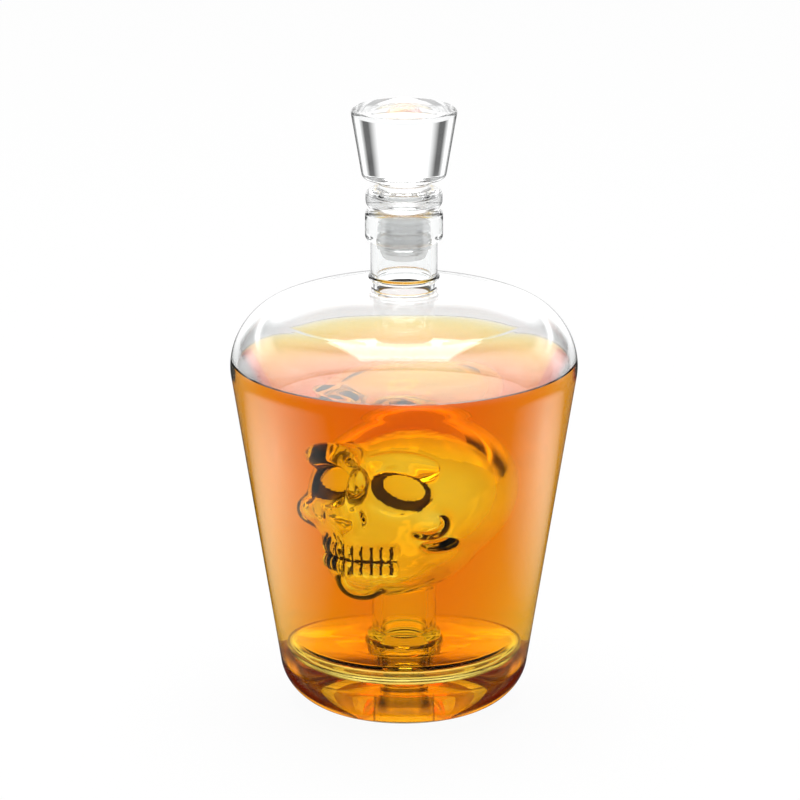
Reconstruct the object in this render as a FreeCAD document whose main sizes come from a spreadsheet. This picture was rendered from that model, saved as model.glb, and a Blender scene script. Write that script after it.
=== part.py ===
import FreeCAD, Part
import math
import os

import Sketcher

# Figural liquor decanter: a tapered blown body with a hollow skull standing inside it on a flat
# hollow foot, filled with liquor and closed by a solid glass stopper in a ribbed seal sleeve.
# Millimetres. Z is up, and the origin is the middle of the ring that the body stands on.

os.makedirs("parts", exist_ok=True)
doc = FreeCAD.newDocument("decanter")
sheet = doc.addObject("Spreadsheet::Sheet", "Sizes")

BODY_SIZES = {
    "base_radius": 43.3,            # wall line carried down to the table
    "wall_lean_angle": 9.09,        # wall's lean from upright, in degrees
    "wall_height": 125.5,           # top of the straight wall
    "wall": 2.6,                    # glass thickness of wall and shoulder
    "bottom": 4.6,                  # glass thickness at the floor
    "bottom_hollow": 1.2,           # push-up under the floor
    "rest_ring_inset": 20.3,        # from the wall line in to the inner edge of the ring it stands on
    "heel_radius": 18.3,            # outside heel
    "inner_heel_radius": 14.0,      # inside heel
    "shoulder_round": 23.5,         # outer shoulder arc
    "shoulder_turn_angle": 65.0,    # where the outer arc hands over to the crown, in degrees
    "shoulder_crown": 82.1,         # flat arc over the shoulder
}
NECK_SIZES = {
    "neck_radius": 12.15,
    "neck_bore_radius": 10.0,
    "neck_seam_rise": 3.86,         # bead where the neck is fused on, over the shoulder's end
    "neck_seam_bead": 0.9,
    "neck_length": 13.8,            # from the bead to the underside of the mouth collar
    "mouth_height": 11.7,
    "mouth_radius": 14.15,
    "mouth_round": 2.2,
}
STOPPER_SIZES = {
    "mouth_gap": 0.3,               # stopper flange over the mouth
    "flange_radius": 13.95,
    "flange_height": 7.2,
    "flange_round": 2.6,
    "waist_radius": 8.8,
    "waist_height": 4.2,
    "knob_low_radius": 15.2,
    "knob_low_round": 1.6,
    "knob_top_radius": 19.45,
    "knob_height": 25.3,
    "knob_top_round": 1.6,
    "shank_radius": 7.0,
    "shank_length": 16.4,
}
SEAL_SIZES = {
    "shank_clearance": 0.05,        # shank turning in the sleeve
    "shank_end_gap": 0.3,
    "bore_clearance": 0.15,         # ribs in the neck bore
    "seal_top_gap": 0.3,            # sleeve under the flange
    "seal_core_radius": 8.6,
    "seal_tip_radius": 7.6,
    "seal_tip_height": 2.4,
    "seal_floor": 1.6,
    "seal_rib_first": 4.6,          # first rib over the sleeve's lower end
    "seal_rib_pitch": 3.3,
    "seal_rib_root": 2.0,
    "seal_rib_crest": 0.8,
    "seal_rib_count": 4,
}
FIGURE_SIZES = {
    "figure_wall": 2.4,             # blown glass of the foot and neck
    "stem_radius": 8.0,
    "foot_under": 18.0,             # underside of the hollow foot
    "foot_edge": 3.4,               # rounding of the foot's rim
    "foot_edge_angle": 86.0,        # where the rim hands over to the top, in degrees
    "foot_inset": 4.5,              # from the base's wall line in to the foot's edge
    "foot_apex": 26.2,              # flat land in the middle of the top
    "foot_land_radius": 14.0,
    "foot_crown": 350.0,            # slight arc of the top
    "figure_neck_radius": 10.6,
    "figure_neck_bead": 1.6,
    "figure_neck_top": 49.0,        # end of the neck inside the skull's underside
    "liquor_rise": 5.8,             # liquor's level over the top of the straight wall
    "overrun": 2.0,                 # how far a cutting shape passes the face that it cuts
}
SKULL_SIZES = {
    "skull_turn_angle": -30.0,      # face turned towards the viewer's left, in degrees
    "skull_wall": 4.2,
    "skull_low": 44.5,              # underside of the jaw
    "skull_tall": 65.0,
    "skull_half_width": 32.5,
    "skull_front": 39.0,            # reach of the face from the neck's axis
    "skull_back": 45.0,             # reach of the back of the head
    "skull_middle": 4.0,            # widest line of the head behind the neck's axis
    "space_low": 54.0,              # floor of the space inside the skull
    "tooth_gap": 0.6,               # radius of a groove between teeth
    "tooth_low": 57.5,
    "tooth_bite": 63.5,             # line where upper and lower teeth meet
    "tooth_top": 69.5,
    "tooth_depth": 0.6,             # depth of the bite line
    "tooth_spread_angle": 44.0,     # teeth to either side of the middle, in degrees
    "tooth_count": 9,
}
# Cross-sections of the skull as shares: level, half width, reach of face, reach of back, widest line
SKULL_LEVEL_SHARES = (
    (0.000, 0.38, 0.560, 0.280, -0.2),
    (0.037, 0.47, 0.800, 0.350, -0.2),
    (0.104, 0.58, 0.982, 0.476, -0.2),
    (0.192, 0.72, 1.000, 0.677, -0.2),
    (0.266, 0.80, 1.000, 0.800, 0.2),
    (0.340, 0.90, 0.990, 0.907, 0.6),
    (0.429, 0.97, 0.976, 0.972, 1.0),
    (0.548, 1.00, 0.949, 1.000, 1.0),
    (0.666, 0.96, 0.930, 0.966, 1.0),
    (0.780, 0.85, 0.830, 0.867, 1.0),
    (0.880, 0.67, 0.620, 0.704, 1.0),
    (0.950, 0.45, 0.375, 0.503, 1.0),
    (0.985, 0.25, 0.164, 0.320, 1.0),
    (1.000, 0.12, 0.025, 0.199, 1.0),
)
BITE_SHARES = SKULL_LEVEL_SHARES[4]
# Hollows of the face: half sizes across, along and up, then place: aside, along, up
HOLLOW_SIZES = {
    "socket": (10.3, 9.0, 7.2, 13.8, -36.0, 89.5),
    "nasal": (3.2, 6.0, 5.6, 0.0, -40.5, 78.0),
    "cheek_hollow": (5.5, 14.0, 3.2, 26.5, -16.0, 68.0),
}
HOLLOW_WORDS = ("across", "along", "up", "aside", "place", "height")


def fill_sheet(groups):
    """Writes every driving size into the sheet as a plain number with its own alias."""
    row = 0
    for group in groups:
        for alias, number in group.items():
            row += 1
            sheet.set(f"A{row}", alias)
            sheet.set(f"B{row}", str(number))
            sheet.setAlias(f"B{row}", alias)


def hollow_sizes():
    """Names the six numbers of each hollow of the face, for the sheet."""
    return {f"{hollow}_{word}": number
            for hollow, numbers in HOLLOW_SIZES.items() for word, number in zip(HOLLOW_WORDS, numbers)}


GROUPS = [BODY_SIZES, NECK_SIZES, STOPPER_SIZES, SEAL_SIZES, FIGURE_SIZES, SKULL_SIZES, hollow_sizes()]
ALIASES = {alias for group in GROUPS for alias in group}
fill_sheet(GROUPS)
doc.recompute()


def named(text):
    """Puts the sheet's name before each alias of an expression."""
    out, word = "", ""
    for letter in text + " ":
        if letter.isalnum() or letter == "_":
            word += letter
            continue
        out += f"Sizes.{word}" if word in ALIASES else word
        out += letter
        word = ""
    return out.strip()


def amount(text):
    """Number that an expression of the sheet's aliases comes to."""
    result = sheet.evalExpression(named(text))
    return float(getattr(result, "Value", result))


def bind(target, path, text):
    target.setExpression(path, named(text))


def origin_plane(body, role):
    return next(plane for plane in body.Origin.OriginFeatures if plane.Role == role)


def add_edge(sketch, start, end, bend):
    """Adds one edge of an outline and returns its index and which of its ends is the start."""
    first = FreeCAD.Vector(amount(start[0]), amount(start[1]), 0)
    last = FreeCAD.Vector(amount(end[0]), amount(end[1]), 0)
    if not bend:
        return sketch.addGeometry(Part.LineSegment(first, last), False), 1, 2
    inward = bend.startswith("-")
    radius = amount(bend.lstrip("-"))
    half = (last - first) * 0.5
    reach = max(radius ** 2 - half.Length ** 2, 0.0) ** 0.5
    side = FreeCAD.Vector(-half.y, half.x, 0).normalize() * (-reach if inward else reach)
    centre = first + half + side
    begin, finish = (last, first) if inward else (first, last)
    angles = [FreeCAD.Vector(1, 0, 0).getAngle(spot - centre) for spot in (begin, finish)]
    signed = [angle if (spot - centre).y >= 0 else -angle for angle, spot in zip(angles, (begin, finish))]
    circle = Part.Circle(centre, FreeCAD.Vector(0, 0, 1), radius)
    index = sketch.addGeometry(Part.ArcOfCircle(circle, signed[0], signed[1]), False)
    row = sketch.addConstraint(Sketcher.Constraint("Radius", index, radius))
    bind(sketch, f"Constraints[{row}]", bend.lstrip("-"))
    return (index, 2, 1) if inward else (index, 1, 2)


def place_corner(sketch, index, end, corner):
    """Holds a corner at its radius and height, on the axis or on the floor where these are zero."""
    for kind, axis, text in (("DistanceX", -2, corner[0]), ("DistanceY", -1, corner[1])):
        if text == "0":
            sketch.addConstraint(Sketcher.Constraint("PointOnObject", index, end, axis))
            continue
        row = sketch.addConstraint(Sketcher.Constraint(kind, -1, 1, index, end, amount(text)))
        bind(sketch, f"Constraints[{row}]", text)


def turned(name, outline):
    """Body turned about Z from corners (radius, height, bend of the edge that leaves the corner)."""
    body = doc.addObject("PartDesign::Body", name)
    sketch = body.newObject("Sketcher::SketchObject", name + "_outline")
    sketch.AttachmentSupport = [(origin_plane(body, "XZ_Plane"), "")]
    sketch.MapMode = "FlatFace"
    corners = outline + outline[:1]
    edges = [add_edge(sketch, start, end, start[2]) for start, end in zip(corners, corners[1:])]
    for edge, following in zip(edges, edges[1:] + edges[:1]):
        sketch.addConstraint(Sketcher.Constraint("Coincident", edge[0], edge[2], following[0], following[1]))
    for edge, corner in zip(edges, outline):
        place_corner(sketch, edge[0], edge[1], corner)
    turn = body.newObject("PartDesign::Revolution", name + "_turn")
    turn.Profile = sketch
    turn.ReferenceAxis = (sketch, ["V_Axis"])
    turn.Angle = 360
    doc.recompute()
    return body


def cylinder(name, radius, low, top):
    piece = doc.addObject("Part::Cylinder", name)
    bind(piece, "Radius", radius)
    bind(piece, "Height", f"({top}) - ({low})")
    bind(piece, "Placement.Base.z", low)
    return piece


def shaped(name, shape):
    """Piece of a form that no primitive gives, from a shape made with sizes of the sheet."""
    piece = doc.addObject("Part::Feature", name)
    piece.Shape = shape
    return piece


def fused(name, pieces):
    union = doc.addObject("Part::MultiFuse", name)
    union.Shapes = pieces
    union.Refine = False
    return union


def cut(name, base, tool):
    result = doc.addObject("Part::Cut", name)
    result.Base = base
    result.Tool = tool
    result.Refine = False
    return result


def label_last(piece, label):
    piece.Label = label
    return piece


# Outline of the body, as a distance into the glass from its outer face
LEAN = "wall_lean_angle"
TURN = "shoulder_turn_angle"
REST_RING_R = "(base_radius - rest_ring_inset)"
ROUND_R = f"(base_radius + tan({LEAN}) * wall_height - shoulder_round * cos({LEAN}))"
ROUND_Z = f"(wall_height + shoulder_round * sin({LEAN}))"
CROWN_R = f"({ROUND_R} + (shoulder_round - shoulder_crown) * cos({TURN}))"
CROWN_Z = f"({ROUND_Z} + (shoulder_round - shoulder_crown) * sin({TURN}))"


def heel(floor, radius, depth):
    """Corners of a heel of the given radius, tangent to a floor and to the wall at a depth."""
    centre_z = f"({floor} + {radius})"
    centre_r = f"(base_radius + tan({LEAN}) * {centre_z} - ({depth} + {radius}) / cos({LEAN}))"
    return [(centre_r, floor, radius),
            (f"{centre_r} + {radius} * cos({LEAN})", f"{centre_z} - {radius} * sin({LEAN})", "")]


def shoulder_low(depth):
    return (f"{ROUND_R} + (shoulder_round - {depth}) * cos({LEAN})",
            f"{ROUND_Z} - (shoulder_round - {depth}) * sin({LEAN})", f"(shoulder_round - {depth})")


def shoulder_turn(depth):
    return (f"{ROUND_R} + (shoulder_round - {depth}) * cos({TURN})",
            f"{ROUND_Z} + (shoulder_round - {depth}) * sin({TURN})", f"(shoulder_crown - {depth})")


def shoulder_end(depth):
    height = f"{CROWN_Z} + sqrt((shoulder_crown - {depth})^2 - (neck_radius - {CROWN_R})^2)"
    return ("neck_radius", height, "")


def backwards(corners):
    """The same corners and arcs walked the other way."""
    bends = [corner[2] for corner in corners]
    turned_bends = [""] + ["-" + bend if bend else "" for bend in bends[:-1]]
    return [(corner[0], corner[1], bend) for corner, bend in zip(corners, turned_bends)][::-1]


def vessel_body():
    under = f"(({REST_RING_R}^2 + bottom_hollow^2) / (2 * bottom_hollow))"
    outside = heel("0", "heel_radius", "0") + [shoulder_low("0"), shoulder_turn("0"), shoulder_end("0")]
    inside = heel("bottom", "inner_heel_radius", "wall")
    inside += [shoulder_low("wall"), shoulder_turn("wall"), shoulder_end("wall")]
    outline = [("0", "bottom_hollow", "-" + under), (REST_RING_R, "0", "")]
    outline += outside + backwards(inside) + [("0", "bottom", "")]
    return turned("vessel_body", outline)


SEAM = f"({shoulder_end('0')[1]} + neck_seam_rise)"
MOUTH_LOW = f"({SEAM} + neck_length)"
MOUTH_TOP = f"({MOUTH_LOW} + mouth_height)"


def neck():
    seam_out = "neck_radius + neck_seam_bead"
    low = shoulder_end("wall")[1]
    return turned("neck", [
        ("neck_bore_radius", low, ""),
        ("neck_radius", low, ""),
        ("neck_radius", f"{SEAM} - neck_seam_bead", "neck_seam_bead"),
        (seam_out, SEAM, "neck_seam_bead"),
        ("neck_radius", f"{SEAM} + neck_seam_bead", ""),
        ("neck_radius", MOUTH_LOW, "mouth_round"),
        ("mouth_radius", f"{MOUTH_LOW} + mouth_round", ""),
        ("mouth_radius", f"{MOUTH_TOP} - mouth_round", "mouth_round"),
        ("mouth_radius - mouth_round", MOUTH_TOP, ""),
        ("neck_bore_radius", MOUTH_TOP, ""),
    ])


FLANGE_LOW = f"({MOUTH_TOP} + mouth_gap)"
FLANGE_TOP = f"({FLANGE_LOW} + flange_height)"
KNOB_LOW = f"({FLANGE_TOP} + waist_height)"
KNOB_TOP = f"({KNOB_LOW} + knob_height)"
SHANK_LOW = f"({FLANGE_LOW} - shank_length)"


def stopper():
    waist_mid = f"{FLANGE_TOP} + waist_height / 2"
    return turned("stopper", [
        ("0", SHANK_LOW, ""),
        ("shank_radius", SHANK_LOW, ""),
        ("shank_radius", FLANGE_LOW, ""),
        ("flange_radius - flange_round", FLANGE_LOW, "flange_round"),
        ("flange_radius", f"{FLANGE_LOW} + flange_round", ""),
        ("flange_radius", f"{FLANGE_TOP} - flange_round", "flange_round"),
        ("flange_radius - flange_round", FLANGE_TOP, "-waist_height"),
        ("waist_radius", waist_mid, "-waist_height"),
        ("knob_low_radius - knob_low_round", KNOB_LOW, "knob_low_round"),
        ("knob_low_radius", f"{KNOB_LOW} + knob_low_round", ""),
        ("knob_top_radius", f"{KNOB_TOP} - knob_top_round", "knob_top_round"),
        ("knob_top_radius - knob_top_round", KNOB_TOP, ""),
        ("0", KNOB_TOP, ""),
    ])


def seal_sleeve():
    low = f"({SHANK_LOW} - shank_end_gap - seal_floor)"
    top = f"({FLANGE_LOW} - seal_top_gap)"
    rib_radius = "neck_bore_radius - bore_clearance"
    inner = "shank_radius + shank_clearance"
    outline = [("0", low, ""), ("seal_tip_radius", low, "")]
    outline += [("seal_core_radius", f"{low} + seal_tip_height", "")]
    for rib in range(int(amount("seal_rib_count"))):
        middle = f"{low} + seal_rib_first + {rib} * seal_rib_pitch"
        outline += [("seal_core_radius", f"{middle} - seal_rib_root / 2", ""),
                    (rib_radius, f"{middle} - seal_rib_crest / 2", ""),
                    (rib_radius, f"{middle} + seal_rib_crest / 2", ""),
                    ("seal_core_radius", f"{middle} + seal_rib_root / 2", "")]
    outline += [("seal_core_radius", top, ""), (inner, top, ""), (inner, f"{low} + seal_floor", ""),
                ("0", f"{low} + seal_floor", "")]
    return turned("seal_sleeve", outline)


FOOT_EDGE_R = "(base_radius - foot_inset - foot_edge)"
FOOT_EDGE_Z = "(foot_under + foot_edge)"
FIGURE_BORE = "(figure_neck_radius - figure_wall)"


def foot_outline(depth):
    """Hollow foot's outline at a depth into its glass, from its underside round to its top."""
    edge = f"(foot_edge - {depth})"
    return [(FOOT_EDGE_R, f"foot_under + {depth}", edge),
            (f"{FOOT_EDGE_R} + {edge}", FOOT_EDGE_Z, edge),
            (f"{FOOT_EDGE_R} + {edge} * cos(foot_edge_angle)",
             f"{FOOT_EDGE_Z} + {edge} * sin(foot_edge_angle)", f"(foot_crown - {depth})"),
            ("foot_land_radius", f"foot_apex - {depth}", "")]


def foot_shapes():
    """Foot as a filled shape, and the space inside it with the hole up to the figure's neck."""
    filled = turned("foot_filled", [("0", "foot_under", "")] + foot_outline("0") + [("0", "foot_apex", "")])
    past = "foot_apex + overrun"
    space = turned("foot_space", [("0", "foot_under + figure_wall", "")] + foot_outline("figure_wall")
                   + [(FIGURE_BORE, "foot_apex - figure_wall", ""), (FIGURE_BORE, past, ""), ("0", past, "")])
    return filled, space


def figure_neck_shapes():
    """Figure's neck with its bead, filled, and its bore."""
    tube = cylinder("figure_neck_tube", "figure_neck_radius", "foot_apex", "figure_neck_top")
    bead = doc.addObject("Part::Torus", "figure_neck_ring")
    bind(bead, "Radius1", "figure_neck_radius")
    bind(bead, "Radius2", "figure_neck_bead")
    bind(bead, "Placement.Base.z", "foot_apex + figure_neck_bead")
    bore = cylinder("figure_neck_hole", FIGURE_BORE, "foot_apex - overrun", "figure_neck_top + overrun")
    return fused("figure_neck_filled", [tube, bead]), bore, tube


UPWARD = FreeCAD.Vector(0, 0, 1)


def stretched(shape, across, along, up, place):
    """A unit shape scaled along each axis and moved to its place."""
    matrix = FreeCAD.Matrix()
    matrix.scale(FreeCAD.Vector(across, along, up))
    matrix.move(place)
    return shape.transformGeometry(matrix)


def level_wire(shares, inset):
    """One cross-section of the skull: a half ellipse for the face and one for the back of the head."""
    level, width, front, back, middle = shares
    line = middle * amount("skull_middle")
    place = FreeCAD.Vector(0, line, amount("skull_low") + level * amount("skull_tall"))
    across = width * amount("skull_half_width") - inset
    face = front * amount("skull_front") + line - inset
    nape = back * amount("skull_back") - line - inset
    halves = []
    for reach, start in ((face, 180), (nape, 0)):
        arc = Part.makeCircle(1, FreeCAD.Vector(), UPWARD, start, start + 180)
        halves.append(stretched(arc, across, reach, 1, place))
    return Part.Wire(halves)


def skull_loft(inset):
    return Part.makeLoft([level_wire(shares, inset) for shares in SKULL_LEVEL_SHARES], True, False)


def hollow_balls(grow):
    """Ellipsoids of the sockets, nose and cheek hollows, larger all round by grow."""
    balls = []
    for hollow in HOLLOW_SIZES:
        across, along, up, aside, place, height = (amount(f"{hollow}_{word}") for word in HOLLOW_WORDS)
        for side in ((1, -1) if aside else (1,)):
            spot = FreeCAD.Vector(side * aside, place, height)
            balls.append(stretched(Part.makeSphere(1), across + grow, along + grow, up + grow, spot))
    return balls


def half_disc(across, along, line):
    """Half disc of the face's curve at the bite line, as thick as a groove between teeth."""
    half = Part.makeCylinder(1, 1, FreeCAD.Vector(), UPWARD, 180)
    half.rotate(FreeCAD.Vector(), UPWARD, 180)
    thick = 2 * amount("tooth_gap")
    return stretched(half, across, along, thick, FreeCAD.Vector(0, line, amount("tooth_bite") - thick / 2))


def tooth_grooves():
    """Grooves between the teeth and the line where they meet, on the curve of the face."""
    across = amount("skull_half_width") * BITE_SHARES[1]
    line = amount("skull_middle") * BITE_SHARES[4]
    along = amount("skull_front") * BITE_SHARES[2] + line
    past, depth = amount("overrun"), amount("tooth_depth")
    bite = half_disc(across + past, along + past, line).cut(half_disc(across - depth, along - depth, line))
    grooves = [bite]
    tall = amount("tooth_top") - amount("tooth_low")
    count = int(amount("tooth_count"))
    for groove in range(count):
        angle = math.radians(amount("tooth_spread_angle") * (2 * groove / (count - 1) - 1))
        foot = FreeCAD.Vector(across * math.sin(angle), line - along * math.cos(angle), amount("tooth_low"))
        grooves.append(Part.makeCylinder(amount("tooth_gap"), tall, foot))
    return grooves


def turned_face(shape):
    shape.rotate(FreeCAD.Vector(), UPWARD, amount("skull_turn_angle"))
    return shape


def skull_shapes():
    """Skull's outside as a filled shape, and the space inside it."""
    outside = skull_loft(0).cut(hollow_balls(0) + tooth_grooves())
    inner = skull_loft(amount("skull_wall"))
    low = amount("space_low")
    top = amount("skull_low") + amount("skull_tall") - amount("skull_wall")
    room = Part.makeCylinder(2 * amount("skull_back"), top - low, FreeCAD.Vector(0, 0, low))
    space = inner.common(room).cut(hollow_balls(amount("skull_wall")))
    return shaped("skull_outside", turned_face(outside)), shaped("skull_space", turned_face(space))


def liquor(tools):
    """Liquor up to its level, round the figure."""
    level = "(wall_height + liquor_rise)"
    rim = f"{ROUND_R} + sqrt((shoulder_round - wall)^2 - ({level} - {ROUND_Z})^2)"
    outline = [("0", "bottom", "")] + heel("bottom", "inner_heel_radius", "wall")
    outline += [shoulder_low("wall"), (rim, level, ""), ("0", level, "")]
    return cut("liquor_cut", turned("liquor_core", outline), fused("figure_filled", tools))


def build():
    """Every sub-part under the label that names its file."""
    foot_filled, foot_space = foot_shapes()
    neck_filled, neck_bore, neck_tube = figure_neck_shapes()
    skull_outside, skull_space = skull_shapes()
    stem = cylinder("stem", "stem_radius", "bottom", "foot_under")
    shaft = cylinder("skull_shaft", FIGURE_BORE, "figure_neck_top - overrun", "space_low + overrun")
    skull_seat = fused("skull_seat", [skull_space, neck_tube, shaft])
    pieces = {
        "vessel_body": vessel_body(),
        "neck": neck(),
        "foot_stem": stem,
        "hollow_foot": cut("foot_cut", foot_filled, foot_space),
        "figure_neck": cut("neck_cut", neck_filled, neck_bore),
        "skull": cut("skull_cut", skull_outside, skull_seat),
        "liquor": liquor([foot_filled, stem, neck_filled, skull_outside]),
        "seal_sleeve": seal_sleeve(),
        "stopper": stopper(),
    }
    doc.recompute()
    return {label: label_last(piece, label) for label, piece in pieces.items()}


def write_parts(pieces):
    """Checks every object of the document, then writes each piece to its own file."""
    broken = [item.Name for item in doc.Objects if "Invalid" in item.State or "Error" in item.State]
    if broken:
        raise RuntimeError("objects that did not compute: " + ", ".join(broken))
    for label, piece in pieces.items():
        shape = piece.Shape
        if shape.isNull() or not shape.isValid():
            raise RuntimeError(label + " has no valid shape")
        shape.exportStep(os.path.join("parts", label + ".step"))
        print(label, len(shape.Solids), "solid", round(shape.Volume), "mm3", shape.BoundBox)


write_parts(build())
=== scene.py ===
# %% [markdown]
# # A skull decanter in blown glass
# The object is a tapered blown decanter. A hollow glass skull stands inside it on a hollow glass
# foot, amber liquor fills it to the shoulder, and a solid glass stopper closes it with a ribbed
# soft sleeve. The solids are already packed as a fixed frame, in metres. Each cell below makes one
# visible piece over that frame, in the same place, with smoother surfaces and real optics.

# %% Load the frame
import math

import bmesh
import bpy
from mathutils import Matrix, Vector


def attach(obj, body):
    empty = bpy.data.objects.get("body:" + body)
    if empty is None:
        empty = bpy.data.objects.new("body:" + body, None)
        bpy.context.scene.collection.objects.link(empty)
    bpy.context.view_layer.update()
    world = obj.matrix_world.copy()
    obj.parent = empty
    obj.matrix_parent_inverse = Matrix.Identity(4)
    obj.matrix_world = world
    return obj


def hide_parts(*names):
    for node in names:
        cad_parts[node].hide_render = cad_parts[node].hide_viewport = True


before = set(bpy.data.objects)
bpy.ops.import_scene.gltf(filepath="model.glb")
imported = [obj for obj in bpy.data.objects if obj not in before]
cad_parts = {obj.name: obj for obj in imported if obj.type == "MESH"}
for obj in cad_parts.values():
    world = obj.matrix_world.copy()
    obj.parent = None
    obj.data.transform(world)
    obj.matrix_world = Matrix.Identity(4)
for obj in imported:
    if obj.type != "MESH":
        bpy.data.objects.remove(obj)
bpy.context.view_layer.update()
scene = bpy.context.scene
MM = 0.001
print("solids in the frame:", sorted(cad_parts))

# %% [markdown]
# ## Turned glass
# A decanter is round, so half of its section says everything. A real blower turns the glass in a
# mould; here a few corners in millimetres are joined by edges, each corner is rounded by a vertex
# bevel, and the line is spun about the axis. Writing down every point of the curves would also do,
# but the corners with their radii stay readable, and they are the sizes that a maker would draw.

# %% Turning helpers
CORNER_SEGMENTS = 8
MERGE_WITHIN = 0.002 * MM


def outline_chain(bm, corners):
    """Joins and rounds corners (radius, height, rounding and at times segments), in millimetres."""
    verts = [bm.verts.new((c[0] * MM, 0, c[1] * MM)) for c in corners]
    for first, last in zip(verts, verts[1:]):
        bm.edges.new((first, last))
    insides = [(before.co - vert.co).angle(after.co - vert.co)
               for before, vert, after in zip(verts, verts[1:], verts[2:])]
    for vert, corner, inside in zip(verts[1:], corners[1:], insides):
        if corner[2]:
            bmesh.ops.bevel(bm, geom=[vert], offset=corner[2] * MM / math.tan(inside / 2),
                            offset_type="ABSOLUTE", affect="VERTICES",
                            segments=corner[3] if len(corner) > 3 else CORNER_SEGMENTS,
                            profile=0.5, material=-1)


def turned(corners, steps):
    """A bmesh of the rounded outline spun about the axis."""
    bm = bmesh.new()
    outline_chain(bm, corners)
    bmesh.ops.spin(bm, geom=bm.verts[:] + bm.edges[:], cent=(0, 0, 0), axis=(0, 0, 1),
                   angle=math.tau, steps=steps, use_merge=True, use_duplicate=False)
    bmesh.ops.remove_doubles(bm, verts=bm.verts, dist=MERGE_WITHIN)
    bmesh.ops.recalc_face_normals(bm, faces=bm.faces)
    return bm


# %% [markdown]
# ## From bmesh to piece
# A bmesh is only a workbench, so its shape is written to a mesh and the bmesh is freed. An object
# then holds the mesh at the origin. A visible piece is also shaded smooth but for its sharp edges,
# and rides on a body of the frame, so that it moves with the joints.


# %% Piece helpers
def as_mesh(bm, name):
    """Writes a bmesh to a new mesh and frees it."""
    mesh = bpy.data.meshes.new(name)
    bm.to_mesh(mesh)
    bm.free()
    return mesh


def as_object(bm, name):
    """Makes an object of a bmesh, at the origin."""
    thing = bpy.data.objects.new(name, as_mesh(bm, name))
    scene.collection.objects.link(thing)
    return thing


def finished(bm, name, body, sharp=38):
    """Makes a smooth piece of a bmesh, with edges over an angle in degrees sharp, on a body."""
    piece = as_object(bm, name)
    piece.data.shade_smooth()
    piece.data.set_sharp_from_angle(angle=math.radians(sharp))
    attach(piece, body)
    print(name, "faces:", len(piece.data.polygons), "size in mm:", [round(d / MM, 1) for d in piece.dimensions])
    return piece


# %% [markdown]
# ## Glass of the body and neck
# On the real decanter the neck is fused to the body while hot, so light sees no border between
# them. One outline therefore runs from the push-up under the floor, round the heel, up the leaning
# wall, over the shoulder and the seam bead to the mouth, and back down the inside. Faces that look
# inwards below the liquor's level go to the second slot, which gets the finish of wetted glass.

# %% Body and neck
OUTSIDE = [(0, 1.2, 0), (23.0, 0.0, 2.0), (43.3, 0.0, 18.3, 20), (66.18, 143.02, 23.5, 24),
           (32.05, 158.93, 82.1, 16)]
NECK_OUTSIDE = [(12.15, 158.14, 1.6), (12.15, 161.1, 0.5), (13.05, 161.5, 0.6), (13.05, 162.5, 0.6),
                (12.15, 162.9, 0.5), (12.15, 175.8, 0.6), (14.15, 175.8, 2.2), (14.15, 187.5, 2.4),
                (10.0, 187.5, 1.0)]
INSIDE = [(10.0, 155.42, 1.8), (30.44, 156.81, 79.5, 16), (63.305, 141.49, 20.9, 24),
          (41.40, 4.6, 14.0, 20), (0, 4.6, 0)]
WET_LOW, WET_TOP = 3, 131
LOOKS_UP = 0.9

blown = turned(OUTSIDE + NECK_OUTSIDE + INSIDE, steps=192)
for face in blown.faces:
    middle = face.calc_center_median()
    inward = face.normal.z > LOOKS_UP or face.normal.xy.dot(middle.xy) < 0
    face.material_index = int(inward and WET_LOW * MM < middle.z < WET_TOP * MM)
decanter = finished(blown, "decanter_glass", "vessel")
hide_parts("vessel_body", "neck")

# %% [markdown]
# ## Stopper
# The stopper is one solid piece of pressed glass: a shank in the sleeve, a round flange that covers
# the mouth, a tight waist, and a knob that widens upwards to a flat top with a fire-polished edge.
# It could be joined from cones and discs, but one turned outline leaves no border inside the glass.

# %% Stopper
STOPPER = [(0, 171.4, 0), (7.0, 171.4, 0.8), (7.0, 187.8, 0.4), (13.95, 187.8, 2.9), (13.95, 195.0, 2.6),
           (9.6, 195.0, 0.9), (8.8, 197.1, 2.0), (10.2, 199.2, 0.8), (15.2, 199.2, 1.7),
           (19.45, 224.5, 1.5), (0, 224.5, 0)]
stopper = finished(turned(STOPPER, steps=160), "stopper_glass", "stopper")
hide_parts("stopper")

# %% [markdown]
# ## Seal sleeve
# A soft sleeve is pushed over the shank. Its thin ribs bend against the bore and hold the stopper.
# The ribs repeat at one pitch, so a loop adds their four corners each to the outline.

# %% Seal sleeve
FIRST_RIB, RIB_PITCH, RIB_COUNT = 174.1, 3.3, 4
SLEEVE_RADIUS, RIB_RADIUS = 8.6, 9.85
HALF_ROOT, HALF_CREST = 1.0, 0.4
ROOT_ROUND, CREST_ROUND, RIB_SEGMENTS = 0.3, 0.25, 3

sleeve_corners = [(0, 169.5, 0), (7.6, 169.5, 0.8), (SLEEVE_RADIUS, 171.9, 0.5)]
for rib in range(RIB_COUNT):
    middle = FIRST_RIB + RIB_PITCH * rib
    sleeve_corners += [(SLEEVE_RADIUS, middle - HALF_ROOT, ROOT_ROUND, RIB_SEGMENTS),
                       (RIB_RADIUS, middle - HALF_CREST, CREST_ROUND, RIB_SEGMENTS),
                       (RIB_RADIUS, middle + HALF_CREST, CREST_ROUND, RIB_SEGMENTS),
                       (SLEEVE_RADIUS, middle + HALF_ROOT, ROOT_ROUND, RIB_SEGMENTS)]
sleeve_corners += [(SLEEVE_RADIUS, 187.5, 0.3), (7.05, 187.5, 0.2), (7.05, 171.1, 0.6), (0, 171.1, 0)]
sleeve = finished(turned(sleeve_corners, steps=128), "seal_sleeve_ribbed", "seal")
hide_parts("seal_sleeve")

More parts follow.
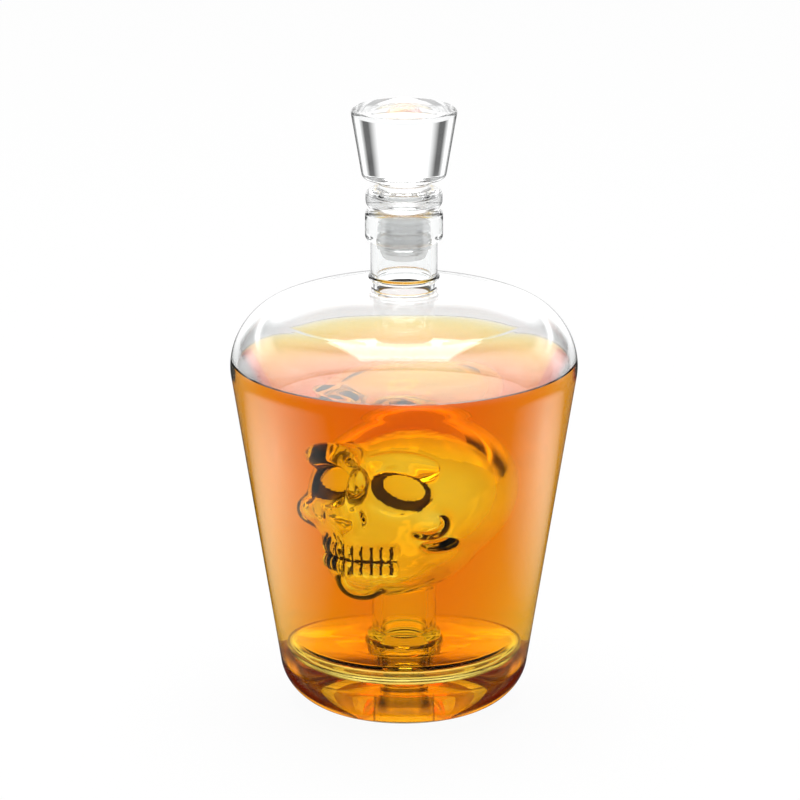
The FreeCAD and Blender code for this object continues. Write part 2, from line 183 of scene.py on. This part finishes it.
# %% [markdown]
# ## Forms of the skull
# The skull is blown and tooled, so all of its forms flow into each other. A skull could be lofted
# from sections, as its solid is, but brow, cheekbones, jaw and teeth then cost many sections. Here
# it is built as a sculptor blocks it out: egg-shaped lumps are piled up, melted together by a voxel
# remesh and smoothed, and then the sockets, nose and cheek hollows are pressed in.


# %% Lump helpers
def lumps(forms, grow=0.0):
    """A bmesh of ellipsoids (half sizes x y z, place x y z, lean in degrees) with both sides mirrored."""
    bm = bmesh.new()
    for half, place, lean in forms:
        for side in ((1, -1) if place[0] else (1,)):
            scale = Matrix.Diagonal([(h + grow) * MM for h in half]).to_4x4()
            spot = Matrix.Translation(Vector((side * place[0], place[1], place[2])) * MM)
            turn = Matrix.Rotation(math.radians(side * lean), 4, "Z")
            bmesh.ops.create_icosphere(bm, subdivisions=4, radius=1, matrix=spot @ turn @ scale)
    return bm


def melted(thing, voxel, rounds, tool=None):
    """Presses a tool into a thing, remeshes it to one skin in voxels of that size, and smooths it."""
    if tool:
        press = thing.modifiers.new("press", "BOOLEAN")
        press.object, press.operation, press.solver = tool, "DIFFERENCE", "EXACT"
    skin = thing.modifiers.new("skin", "REMESH")
    skin.mode, skin.voxel_size = "VOXEL", voxel * MM
    soft = thing.modifiers.new("soft", "SMOOTH")
    soft.factor, soft.iterations = 0.5, rounds
    made = bpy.data.meshes.new_from_object(thing.evaluated_get(bpy.context.evaluated_depsgraph_get()))
    thing.modifiers.clear()
    thing.data = made
    if tool:
        bpy.data.objects.remove(tool)
    return thing


# %% [markdown]
# ## Lumps, hollows and teeth
# The lumps are listed facing forward, in millimetres: cranium, skull base, face, jaw, chin,
# cheekbones, brow and bridge of the nose. What is pressed in follows: the nose's opening, the hollows
# under the cheekbones and the temples. The eye cups are tapered ovals, and the teeth stand in two rows
# on one arch.

# %% Forms
BONE = [((32.5, 42.2, 30), (0, 5.2, 81.5), 0), ((26, 31, 22), (0, -1, 68), 0),
        ((17, 20, 20), (0, -18.5, 70), 0), ((20, 25, 12), (0, -11.5, 59), 0),
        ((9.5, 7.5, 7.5), (0, -31.5, 56), 0), ((10, 9.5, 7), (19, -21.5, 78.5), 0),
        ((14, 7, 6), (12.5, -24.5, 99.5), 14), ((4, 5.5, 10), (0, -34, 90), 0)]
PRESSED = [((3.2, 6, 5.6), (0, -40.5, 80), 0), ((6, 15, 3), (23.5, -20, 69.5), 14),
           ((5, 9, 11), (35.5, -13, 93), 0)]
CUP, CUP_TAPER = (11.4, 7.3, 17.5), 0.72
CUP_PLACE, CUP_LEAN, CUP_ROLL = (14.2, -31.8, 91.5), 12, 14
ARCH_RADIUS, ARCH_MIDDLE = 17.2, -20.2
TOOTH_PITCH, TEETH_A_SIDE = 11, 5
TOOTH_ROWS = ((68.6, 3.3), (62.3, 3.1))

tooth_turns = [math.radians(TOOTH_PITCH / 2 + TOOTH_PITCH * tooth) for tooth in range(TEETH_A_SIDE)]
TEETH = [((1.75, 1.7, tall),
          (ARCH_RADIUS * math.sin(turn), ARCH_MIDDLE - ARCH_RADIUS * math.cos(turn), height), 0)
         for height, tall in TOOTH_ROWS for turn in tooth_turns]
print("lumps:", len(BONE), "pressed in:", len(PRESSED), "teeth:", 2 * len(TEETH))

# %% [markdown]
# ## Skull, outer skin
# Bone and the figure's neck are melted together first, and then the hollows are pressed in. The teeth
# come after that smoothing, or it would wipe them away, and they get only a light one of their own.

# %% Outer skin
NECK_RADIUS, NECK_LOW, NECK_TOP = 10.6, 36, 62


def pressings(forms, grow=0.0):
    """The tools that press the given forms and the two oval eye cups into a skin."""
    bm = lumps(forms, grow)
    for side in (1, -1):
        spot = Matrix.Translation(Vector((side * CUP_PLACE[0], CUP_PLACE[1], CUP_PLACE[2])) * MM)
        lean = (Matrix.Rotation(math.radians(side * CUP_LEAN), 4, "Z")
                @ Matrix.Rotation(math.radians(side * CUP_ROLL), 4, "Y")
                @ Matrix.Rotation(math.radians(90), 4, "X"))
        size = Matrix.Diagonal([(CUP[0] + grow) * MM, (CUP[1] + grow) * MM, (CUP[2] + 2 * grow) * MM]).to_4x4()
        bmesh.ops.create_cone(bm, cap_ends=True, segments=64, radius1=CUP_TAPER, radius2=2 - CUP_TAPER,
                              depth=1, matrix=spot @ lean @ size)
    return bm


def with_tube(bm, radius, low, top):
    """Adds an upright tube of the figure's neck to the lumps."""
    bmesh.ops.create_cone(bm, cap_ends=True, segments=64, radius1=radius * MM, radius2=radius * MM,
                          depth=(top - low) * MM, matrix=Matrix.Translation((0, 0, (top + low) / 2 * MM)))
    return bm


bone = with_tube(lumps(BONE), NECK_RADIUS, NECK_LOW, NECK_TOP)
skull_skin = melted(as_object(bone, "skull_skin"), voxel=0.9, rounds=26)
skull_skin = melted(skull_skin, voxel=0.8, rounds=4, tool=as_object(pressings(PRESSED), "pressed"))
mouth = lumps(TEETH)
mouth.from_mesh(skull_skin.data)
bpy.data.objects.remove(skull_skin)
skull_skin = melted(as_object(mouth, "skull_skin"), voxel=0.7, rounds=2)
print("outer skin faces:", len(skull_skin.data.polygons))

# %% [markdown]
# ## Skull, inner skin
# The hollow inside follows the same lumps, drawn in by the thickness of the glass. Brow and nose are
# left out, because they are solid ridges, and the eye cups are pressed in again, grown by the glass
# that lies between.

# %% Inner skin
SKULL_GLASS, CUP_GLASS = 2.8, 2.4
BORE_RADIUS, BORE_TOP = 8.2, 64
HOLLOW_FORMS, HOLLOW_PRESSED = BONE[:6], PRESSED[:1]

space = with_tube(lumps(HOLLOW_FORMS, grow=-SKULL_GLASS), BORE_RADIUS, NECK_LOW, BORE_TOP)
hollow_skin = melted(as_object(space, "hollow_skin"), voxel=0.9, rounds=26)
hollow_skin = melted(hollow_skin, voxel=0.9, rounds=6,
                     tool=as_object(pressings(HOLLOW_PRESSED, grow=CUP_GLASS), "pressed"))
print("inner skin faces:", len(hollow_skin.data.polygons))

# %% [markdown]
# ## Foot and neck of the figure
# The skull stands on a flat hollow foot with a round edge, which a short solid stem holds off the
# floor. The foot and the neck are turned, cut off just under the jaw, and bridged to the skull's two
# skins, so that the whole figure is one blown piece without a border inside it.

# %% Foot and neck of the figure
FOOT_OUTSIDE = [(0, 4.5, 0), (8.0, 4.5, 0), (8.0, 18.0, 1.5), (38.8, 18.0, 3.3), (38.8, 25.0, 3.3),
                (24.0, 25.9, 30), (12.2, 26.3, 1.0), (12.2, 29.3, 1.4), (NECK_RADIUS, 30.0, 1.0),
                (NECK_RADIUS, 40.0, 0)]
FOOT_INSIDE = [(0, 20.4, 0), (36.4, 20.4, 1.2), (36.4, 22.8, 1.2), (24.0, 23.6, 30),
               (BORE_RADIUS, 23.9, 2.5), (BORE_RADIUS, 40.0, 0)]
JAW_CUT = 42
FACE_TURN = math.radians(-28)


def figure_skin(head, corners):
    """Cuts a skin off under the jaw, turns its face, and bridges it to a turned foot."""
    bm = bmesh.new()
    bm.from_mesh(head.data)
    bpy.data.objects.remove(head)
    bmesh.ops.bisect_plane(bm, geom=bm.verts[:] + bm.edges[:] + bm.faces[:], plane_co=(0, 0, JAW_CUT * MM),
                           plane_no=(0, 0, 1), clear_inner=True)
    bmesh.ops.rotate(bm, verts=bm.verts, matrix=Matrix.Rotation(FACE_TURN, 3, "Z"))
    foot = as_mesh(turned(corners, steps=128), "foot")
    bm.from_mesh(foot)
    bpy.data.meshes.remove(foot)
    bmesh.ops.bridge_loops(bm, edges=[edge for edge in bm.edges if edge.is_boundary])
    bmesh.ops.recalc_face_normals(bm, faces=bm.faces)
    return bm


outer = figure_skin(skull_skin, FOOT_OUTSIDE)
hollow = figure_skin(hollow_skin, FOOT_INSIDE)
print("faces of the figure's skins:", len(outer.faces), "and", len(hollow.faces))

# %% [markdown]
# ## Dark lines of the face
# The photo shows the walls of the eye cups and the gaps between the teeth nearly black, because there
# the eye looks along the glass. That darkness is painted shade, a near-black tint given to those faces.
# A texture could draw them, but the forms are known, so each face is turned back to the front and its
# place is compared with the cups and the arch of the teeth.

# %% Dark lines of the face
WETTED_SLOT, PAINTED_SHADE_SLOT = 1, 2
CUP_WALL, CUP_RIM, CUP_END = 0.13, 2.5, 0.4
GAP_BEARING, MOUTH_BEARING = 1.7, 52
BITE, HALF_BITE = 65.4, 0.4
MOUTH_LOW, MOUTH_TOP, MOUTH_INNER = 60.2, 71.2, 14


def facing_forward(face):
    """The middle of a face in millimetres, with the figure turned back to the front."""
    return Matrix.Rotation(-FACE_TURN, 3, "Z") @ face.calc_center_median() / MM


def in_cup_wall(spot):
    """Whether a spot lies on the steep wall of an eye cup."""
    for side in (1, -1):
        local = spot - Vector((side * CUP_PLACE[0], *CUP_PLACE[1:]))
        local = Matrix.Rotation(math.radians(-side * CUP_LEAN), 3, "Z") @ local
        local = Matrix.Rotation(math.radians(-side * CUP_ROLL), 3, "Y") @ local
        ring = math.hypot(local.x / CUP[0], local.z / CUP[1]) - 1 + (1 - CUP_TAPER) * local.y / CUP[2] * 2
        if abs(ring) < CUP_WALL and CUP_RIM < local.y < CUP[2] / 2 - CUP_END:
            return True
    return False


def in_tooth_gap(spot):
    """Whether a spot lies between two teeth."""
    arch = spot - Vector((0, ARCH_MIDDLE, 0))
    bearing = math.degrees(math.atan2(arch.x, -arch.y))
    from_gap = abs((bearing + TOOTH_PITCH / 2) % TOOTH_PITCH - TOOTH_PITCH / 2)
    between = from_gap < GAP_BEARING or abs(spot.z - BITE) < HALF_BITE
    in_mouth = abs(bearing) < MOUTH_BEARING and MOUTH_LOW < spot.z < MOUTH_TOP
    return between and in_mouth and math.hypot(arch.x, arch.y) > MOUTH_INNER


# Faces on the steep walls of the eye cups and in the gaps between the teeth go to the third slot, whose
# near-black glass is painted shade.
for face in outer.faces:
    spot = facing_forward(face)
    face.material_index = PAINTED_SHADE_SLOT if in_cup_wall(spot) or in_tooth_gap(spot) else WETTED_SLOT
print("dark faces:", sum(face.material_index == PAINTED_SHADE_SLOT for face in outer.faces))

# %% [markdown]
# ## Whole figure
# The hollow's faces are turned round, because a wall's faces point away from its glass, and both skins
# become one piece. A copy of the outer skin is kept for the liquor.

# %% Whole figure
figure_mesh = bpy.data.meshes.new("figure_outer")
outer.to_mesh(figure_mesh)
bmesh.ops.reverse_faces(hollow, faces=hollow.faces)
hollow_mesh = as_mesh(hollow, "figure_hollow")
outer.from_mesh(hollow_mesh)
figure = finished(outer, "skull_figure_glass", "vessel", sharp=60)
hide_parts("skull", "figure_neck", "hollow_foot", "foot_stem")

# %% [markdown]
# ## Liquor
# The liquor fills the body to the shoulder and wraps the figure. Where a liquid meets glass there is
# no air between, and a renderer gets that border right when the liquid reaches into the glass. A round
# wall also magnifies what it holds, so that amber seems to fill it to its outline: the liquor is turned
# nearly to the outer face and cut level. Two face values mark the level top and the base, which fades
# in over a few millimetres.

# %% Liquor, filled to its level
LIQUOR = [(0, 2.6, 0), (43.2, 2.6, 16.2, 20), (65.43, 141.5, 22.9, 24), (49.07, 149.3, 0), (0, 151, 0)]
LEVEL = 131.3
BASE_TOP, BASE_FADE = 24, 12

fill = turned(LIQUOR, steps=192)
bmesh.ops.bisect_plane(fill, geom=fill.verts[:] + fill.edges[:] + fill.faces[:], plane_co=(0, 0, LEVEL * MM),
                       plane_no=(0, 0, 1), clear_outer=True)
level = fill.faces.layers.float.new("level")
for face in bmesh.ops.edgeloop_fill(fill, edges=[edge for edge in fill.edges if edge.is_boundary])["faces"]:
    face[level] = 1.0
base = fill.faces.layers.float.new("base")
for face in fill.faces:
    face[base] = min(1.0, max(0.0, (BASE_TOP - face.calc_center_median().z / MM) / BASE_FADE))
bmesh.ops.recalc_face_normals(fill, faces=fill.faces)
print("faces of the fill:", len(fill.faces))

# %% [markdown]
# ## Pocket for the figure
# The liquor's hollow is the copy of the figure's skin, drawn a little into the figure's glass and turned
# round. A boolean cut could make it too, but this needs no cut, because the figure lies all inside.

# %% Pocket for the figure
OVERLAP = 0.15

pocket = bmesh.new()
pocket.from_mesh(figure_mesh)
pocket.normal_update()
for vert in pocket.verts:
    vert.co -= vert.normal * OVERLAP * MM
bmesh.ops.reverse_faces(pocket, faces=pocket.faces)
pocket_mesh = as_mesh(pocket, "pocket")
fill.from_mesh(pocket_mesh)
liquor = finished(fill, "liquor_fill", "vessel", sharp=60)
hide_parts("liquor")
for spare in (figure_mesh, hollow_mesh, pocket_mesh):
    bpy.data.meshes.remove(spare)

# %% [markdown]
# ## Finishes
# Colours are written as the hex values that a screen shows, and one function turns them to linear.
# One more adds a shader node with its settings and links.


# %% Finish helpers
def colour(hexa):
    """Linear colour of an sRGB hex value."""
    parts = [int(hexa[i:i + 2], 16) / 255 for i in (0, 2, 4)]
    return [p / 12.92 if p <= 0.04045 else ((p + 0.055) / 1.055) ** 2.4 for p in parts] + [1.0]


def node(tree, kind, sockets=(), links=(), **settings):
    """Adds a node, sets its values, and links outputs of other nodes to its inputs."""
    made = tree.nodes.new(kind)
    for name, value in settings.items():
        setattr(made, name, value)
    for socket, value in dict(sockets).items():
        made.inputs[socket].default_value = value
    for socket, source in dict(links).items():
        tree.links.new(source, made.inputs[socket])
    return made


def finish(name):
    """A new material with an empty node tree."""
    material = bpy.data.materials.new(name)
    material.use_nodes = True
    material.node_tree.nodes.clear()
    return material, material.node_tree


# %% [markdown]
# ## Blown glass
# Clear soda-lime glass bends light with an index of 1.5 and is polished by the flame. Blown glass is
# never quite even: slow waves a few centimetres long run through the wall, and shorter ones through
# the tooled figure. They are hundredths of a millimetre deep, and a bump gives them. Glass that liquor
# wets hardly mirrors, because the two indices are close, so wetted faces get a dark mirror colour. The
# steep walls of the eye cups are thick glass seen along its length, which the photo shows nearly black.
# Their faces and the gaps between the teeth get glass tinted nearly black, as painted shade.

# %% Blown glass
GLASS_INDEX = 1.5
WETTED, PAINTED_SHADE_TINT = "505050", "0C0503"


def blown_glass(name, wave, depth, tint="FDFEFE", mirror="FFFFFF"):
    """Clear glass with waves of that length and depth in millimetres."""
    material, tree = finish(name)
    place = node(tree, "ShaderNodeTexCoord")
    waves = node(tree, "ShaderNodeTexNoise", {"Scale": 1 / (wave * MM), "Detail": 1.0},
                 {"Vector": place.outputs["Object"]})
    bump = node(tree, "ShaderNodeBump", {"Strength": 1.0, "Distance": depth * MM},
                {"Height": waves.outputs["Fac"]})
    glass = node(tree, "ShaderNodeBsdfPrincipled",
                 {"Base Color": colour(tint), "Roughness": 0.0, "IOR": GLASS_INDEX,
                  "Transmission Weight": 1.0, "Specular Tint": colour(mirror)},
                 {"Normal": bump.outputs["Normal"]})
    node(tree, "ShaderNodeOutputMaterial", links={"Surface": glass.outputs["BSDF"]})
    return material


decanter.data.materials.append(blown_glass("soda_lime_glass_blown_body", wave=26, depth=0.02))
decanter.data.materials.append(blown_glass("soda_lime_glass_wetted_wall", wave=26, depth=0.02, mirror=WETTED))
figure.data.materials.append(blown_glass("soda_lime_glass_tooled_figure", wave=9, depth=0.04))
figure.data.materials.append(blown_glass("soda_lime_glass_wetted_figure", wave=9, depth=0.04, mirror=WETTED))
# The third slot is glass tinted nearly black: painted shade on the walls of the eye cups and between the teeth.
figure.data.materials.append(
    blown_glass("soda_lime_glass_painted_shade", wave=9, depth=0.04, tint=PAINTED_SHADE_TINT, mirror=WETTED))
stopper.data.materials.append(blown_glass("soda_lime_glass_pressed_stopper", wave=20, depth=0.01))
print("glass slots:", [len(piece.data.materials) for piece in (decanter, figure, stopper)])

# %% [markdown]
# ## Amber liquor
# A cask-aged liquor is clear, with an index near 1.36. Its colour comes from its depth alone: blue is
# taken out within a centimetre, green over the width of the bottle, red hardly at all. The photo hardly
# magnifies the figure, as a lens of 1.36 would, so the upright wall is matched with 1.1. The level top
# and the base keep 1.36: the top shows the bent crown, the base the dark sides and the bright middle.

# %% Amber liquor
LIQUOR_INDEX, WALL_INDEX = 1.36, 1.1
DEPTH_COLOUR, DEPTH_DENSITY = (0.977, 0.825, 0.0, 1.0), 100.0

material, tree = finish("cask_aged_liquor")
clear = {"Base Color": colour("FFFFFF"), "Roughness": 0.0, "Transmission Weight": 1.0}
sides = node(tree, "ShaderNodeBsdfPrincipled", {**clear, "IOR": WALL_INDEX})
top = node(tree, "ShaderNodeBsdfPrincipled", {**clear, "IOR": LIQUOR_INDEX})
low = node(tree, "ShaderNodeBsdfPrincipled", {**clear, "IOR": LIQUOR_INDEX, "Specular Tint": colour(WETTED)})
at_base = node(tree, "ShaderNodeAttribute", attribute_name="base")
at_level = node(tree, "ShaderNodeAttribute", attribute_name="level")
walls = node(tree, "ShaderNodeMixShader",
             links={0: at_base.outputs["Fac"], 1: sides.outputs["BSDF"], 2: low.outputs["BSDF"]})
liquid = node(tree, "ShaderNodeMixShader",
              links={0: at_level.outputs["Fac"], 1: walls.outputs["Shader"], 2: top.outputs["BSDF"]})
depth = node(tree, "ShaderNodeVolumeAbsorption", {"Color": DEPTH_COLOUR, "Density": DEPTH_DENSITY})
node(tree, "ShaderNodeOutputMaterial",
     links={"Surface": liquid.outputs["Shader"], "Volume": depth.outputs["Volume"]})
liquor.data.materials.append(material)
print("nodes of the liquor:", len(tree.nodes))

# %% [markdown]
# ## Silicone
# The sleeve is moulded from clear silicone with a frosted skin, so it lets light through but blurs
# everything behind it. The grain of the frost is drawn coarser than it is, at 0.6 mm, so that it shows.

# %% Silicone
FROST_GRAIN = 0.6
SILICONE_INDEX, SILICONE_COVER = 1.41, 0.32

material, tree = finish("frosted_silicone")
place = node(tree, "ShaderNodeTexCoord")
frost = node(tree, "ShaderNodeTexNoise", {"Scale": 1 / (FROST_GRAIN * MM), "Detail": 2.0},
             {"Vector": place.outputs["Object"]})
rough = node(tree, "ShaderNodeMapRange", {"To Min": 0.28, "To Max": 0.42}, {"Value": frost.outputs["Fac"]})
silicone = node(tree, "ShaderNodeBsdfPrincipled",
                {"Base Color": colour("FBFCFC"), "IOR": SILICONE_INDEX, "Alpha": SILICONE_COVER},
                {"Roughness": rough.outputs["Result"]})
node(tree, "ShaderNodeOutputMaterial", links={"Surface": silicone.outputs["BSDF"]})
sleeve.data.materials.append(material)
print("nodes of the silicone:", len(tree.nodes))

# %% [markdown]
# ## Studio
# Clear glass shows only its surroundings, so the studio draws it: a white card stands behind, dark
# flags to either side of it edge the glass, and softboxes stand further round. All of this is painted
# into the world by direction, as one ramp round the horizon times one ramp from nadir to zenith. A
# band at the height that the liquor's surface mirrors is added behind. The camera sees plain white.

# %% World
ROUND = [(0.0, 0.8), (0.06, 0.8), (0.10, 1.0), (0.18, 0.08), (0.22, 0.08), (0.28, 0.9), (0.32, 0.9),
         (0.38, 0.1), (0.46, 0.1), (0.52, 0.42), (1.0, 0.5)]
UPRIGHT = [(0.0, 0.04), (0.39, 0.04), (0.46, 1.0), (0.68, 1.0), (0.69, 1.2), (0.72, 1.2), (0.76, 0.25),
           (1.0, 0.35)]
BAND = [(0.0, 0.0), (0.610, 0.0), (0.635, 1.5), (0.652, 1.5), (0.677, 0.0)]
BAND_ROUND = [(0.0, 1.0), (0.28, 1.0), (0.34, 0.0)]
WHITE = (1, 1, 1, 1)


def ramp(tree, stops, source):
    """A grey colour ramp with stops (position, level) that reads a source."""
    made = node(tree, "ShaderNodeValToRGB", links={"Fac": source})
    while len(made.color_ramp.elements) < len(stops):
        made.color_ramp.elements.new(0.5)
    for element, (position, level) in zip(made.color_ramp.elements, stops):
        element.position, element.color = position, (level, level, level, 1)
    return made.outputs["Color"]


world = bpy.data.worlds.new("bright_field_studio")
scene.world = world
world.use_nodes = True
tree = world.node_tree
tree.nodes.clear()
place = node(tree, "ShaderNodeTexCoord")
split = node(tree, "ShaderNodeSeparateXYZ", links={0: place.outputs["Generated"]})
bearing = node(tree, "ShaderNodeMath", links={0: split.outputs["X"], 1: split.outputs["Y"]},
               operation="ARCTAN2")
aside = node(tree, "ShaderNodeMath", links={0: bearing.outputs[0]}, operation="ABSOLUTE")
share = node(tree, "ShaderNodeMath", {1: math.pi}, {0: aside.outputs[0]}, operation="DIVIDE").outputs[0]
height = node(tree, "ShaderNodeMapRange", {"From Min": -1.0, "From Max": 1.0},
              {"Value": split.outputs["Z"]}).outputs["Result"]
cards = node(tree, "ShaderNodeMixRGB", {"Fac": 1.0},
             {"Color1": ramp(tree, ROUND, share), "Color2": ramp(tree, UPRIGHT, height)},
             blend_type="MULTIPLY")
lit = node(tree, "ShaderNodeMixRGB", blend_type="LIGHTEN",
           links={"Fac": ramp(tree, BAND_ROUND, share), "Color1": cards.outputs["Color"],
                  "Color2": ramp(tree, BAND, height)})
studio = node(tree, "ShaderNodeBackground", {"Strength": 1.6}, {"Color": lit.outputs["Color"]})
white = node(tree, "ShaderNodeBackground", {"Color": WHITE, "Strength": 1.0})
path = node(tree, "ShaderNodeLightPath")
seen = node(tree, "ShaderNodeMixShader",
            links={0: path.outputs["Is Camera Ray"], 1: studio.outputs[0], 2: white.outputs[0]})
node(tree, "ShaderNodeOutputWorld", links={"Surface": seen.outputs[0]})
print("stops round the horizon:", len(ROUND), "and upright:", len(UPRIGHT))

# %% [markdown]
# ## Floor
# The floor is pale and matt, and keeps the soft shadow. To the camera, and to light that comes through
# glass, it glows nearly white, as a lit table does. The leaning wall of the decanter mirrors the floor
# and not the room, so the floor is left out of mirror images.

# %% Floor
FLOOR_SIDE = 4.0
FLOOR_LIFT = 0.95

bm = bmesh.new()
bmesh.ops.create_grid(bm, x_segments=2, y_segments=2, size=0.5)
bmesh.ops.scale(bm, verts=bm.verts, vec=(FLOOR_SIDE, FLOOR_SIDE, 1.0))
floor = as_object(bm, "floor")
material, tree = finish("matt_white_floor")
paint = node(tree, "ShaderNodeBsdfPrincipled",
             {"Base Color": colour("F4F4F4"), "Roughness": 0.9, "Specular IOR Level": 0.1})
path = node(tree, "ShaderNodeLightPath")
bright = node(tree, "ShaderNodeMapRange", {"To Min": 1.0, "To Max": 1.05},
              {"Value": path.outputs["Is Transmission Ray"]})
glow = node(tree, "ShaderNodeEmission", {"Color": WHITE}, {"Strength": bright.outputs["Result"]})
either = node(tree, "ShaderNodeMath", operation="MAXIMUM",
              links={0: path.outputs["Is Camera Ray"], 1: path.outputs["Is Glossy Ray"]})
any_view = node(tree, "ShaderNodeMath", operation="MAXIMUM",
                links={0: either.outputs[0], 1: path.outputs["Is Transmission Ray"]})
lift = node(tree, "ShaderNodeMath", {1: FLOOR_LIFT}, {0: any_view.outputs[0]}, operation="MULTIPLY")
lifted = node(tree, "ShaderNodeMixShader",
              links={0: lift.outputs[0], 1: paint.outputs["BSDF"], 2: glow.outputs["Emission"]})
node(tree, "ShaderNodeOutputMaterial", links={"Surface": lifted.outputs["Shader"]})
floor.data.materials.append(material)
floor.visible_glossy = False
print("side of the floor in m:", FLOOR_SIDE)

# %% [markdown]
# ## Lamp and light cards
# One large softbox overhead gives the plain light and the shadow. Two soft cards lie on the floor where
# the leaning wall mirrors it, and draw the two upright highlights. Only mirror images show them.

# %% Lamp and light cards
CARD_LIFT = 0.002


def softbox(name, place, target, width, height, power):
    """A soft rectangular lamp aimed at a point."""
    lamp = bpy.data.lights.new(name, "AREA")
    lamp.shape, lamp.size, lamp.size_y, lamp.energy = "RECTANGLE", width, height, power
    box = bpy.data.objects.new(name, lamp)
    scene.collection.objects.link(box)
    box.location = place
    box.rotation_euler = (Vector(target) - Vector(place)).to_track_quat("-Z", "Y").to_euler()
    box.visible_camera = False


def light_card(name, middle, width, length, strength):
    """A glowing card that lies on the floor and fades out towards its edges."""
    bm = bmesh.new()
    bmesh.ops.create_grid(bm, x_segments=1, y_segments=1, size=0.5)
    bmesh.ops.scale(bm, verts=bm.verts, vec=(width, length, 1.0))
    bmesh.ops.translate(bm, verts=bm.verts, vec=(middle[0], middle[1], CARD_LIFT))
    card = as_object(bm, name)
    material, tree = finish(name)
    place = node(tree, "ShaderNodeTexCoord")
    centred = node(tree, "ShaderNodeMapping",
                   {"Location": (-middle[0] * 2 / width, -middle[1] * 2 / length, 0),
                    "Scale": (2 / width, 2 / length, 0)},
                   {"Vector": place.outputs["Object"]})
    fade = node(tree, "ShaderNodeTexGradient", links={"Vector": centred.outputs["Vector"]},
                gradient_type="SPHERICAL")
    level = node(tree, "ShaderNodeMath", {1: strength}, {0: fade.outputs["Fac"]}, operation="MULTIPLY")
    glow = node(tree, "ShaderNodeEmission", links={"Strength": level.outputs[0]})
    node(tree, "ShaderNodeOutputMaterial", links={"Surface": glow.outputs["Emission"]})
    card.data.materials.append(material)
    card.visible_camera = card.visible_diffuse = card.visible_transmission = card.visible_shadow = False


softbox("overhead_softbox", place=(0, 0.2, 1.6), target=(0, 0, 0.1), width=1.2, height=1.2, power=26)
light_card("left_light_card", middle=(-0.24, 0.02), width=0.34, length=0.4, strength=2.6)
light_card("right_light_card", middle=(0.26, 0.07), width=0.34, length=0.3, strength=2.2)

# %% [markdown]
# ## Camera
# The camera's place and focal length are matched to the photo, and the focal length is given in pixels
# of the photo. Light passes many walls of glass here, so the number of bounces is high.

# %% Camera
EYE, AIM = Vector((0, -1.650, 0.600)), Vector((0, 0, 0.115))
SENSOR, FOCAL_PIXELS, PHOTO_PIXELS, SHIFT_PIXELS = 36.0, 4685, 800, -4
GLASS_BOUNCES, MIRROR_BOUNCES = 24, 12

camera = bpy.data.objects.new("camera", bpy.data.cameras.new("camera"))
scene.collection.objects.link(camera)
camera.data.sensor_width, camera.data.clip_end = SENSOR, 50
camera.data.lens = SENSOR * FOCAL_PIXELS / PHOTO_PIXELS
camera.data.shift_x = SHIFT_PIXELS / PHOTO_PIXELS
camera.location = EYE
camera.rotation_euler = (AIM - EYE).to_track_quat("-Z", "Y").to_euler()
scene.camera = camera
scene.view_settings.view_transform = "Standard"
scene.cycles.max_bounces = scene.cycles.transmission_bounces = GLASS_BOUNCES
scene.cycles.glossy_bounces = MIRROR_BOUNCES
print("camera tilt in degrees:", round(math.degrees(camera.rotation_euler.x) - 90, 2))
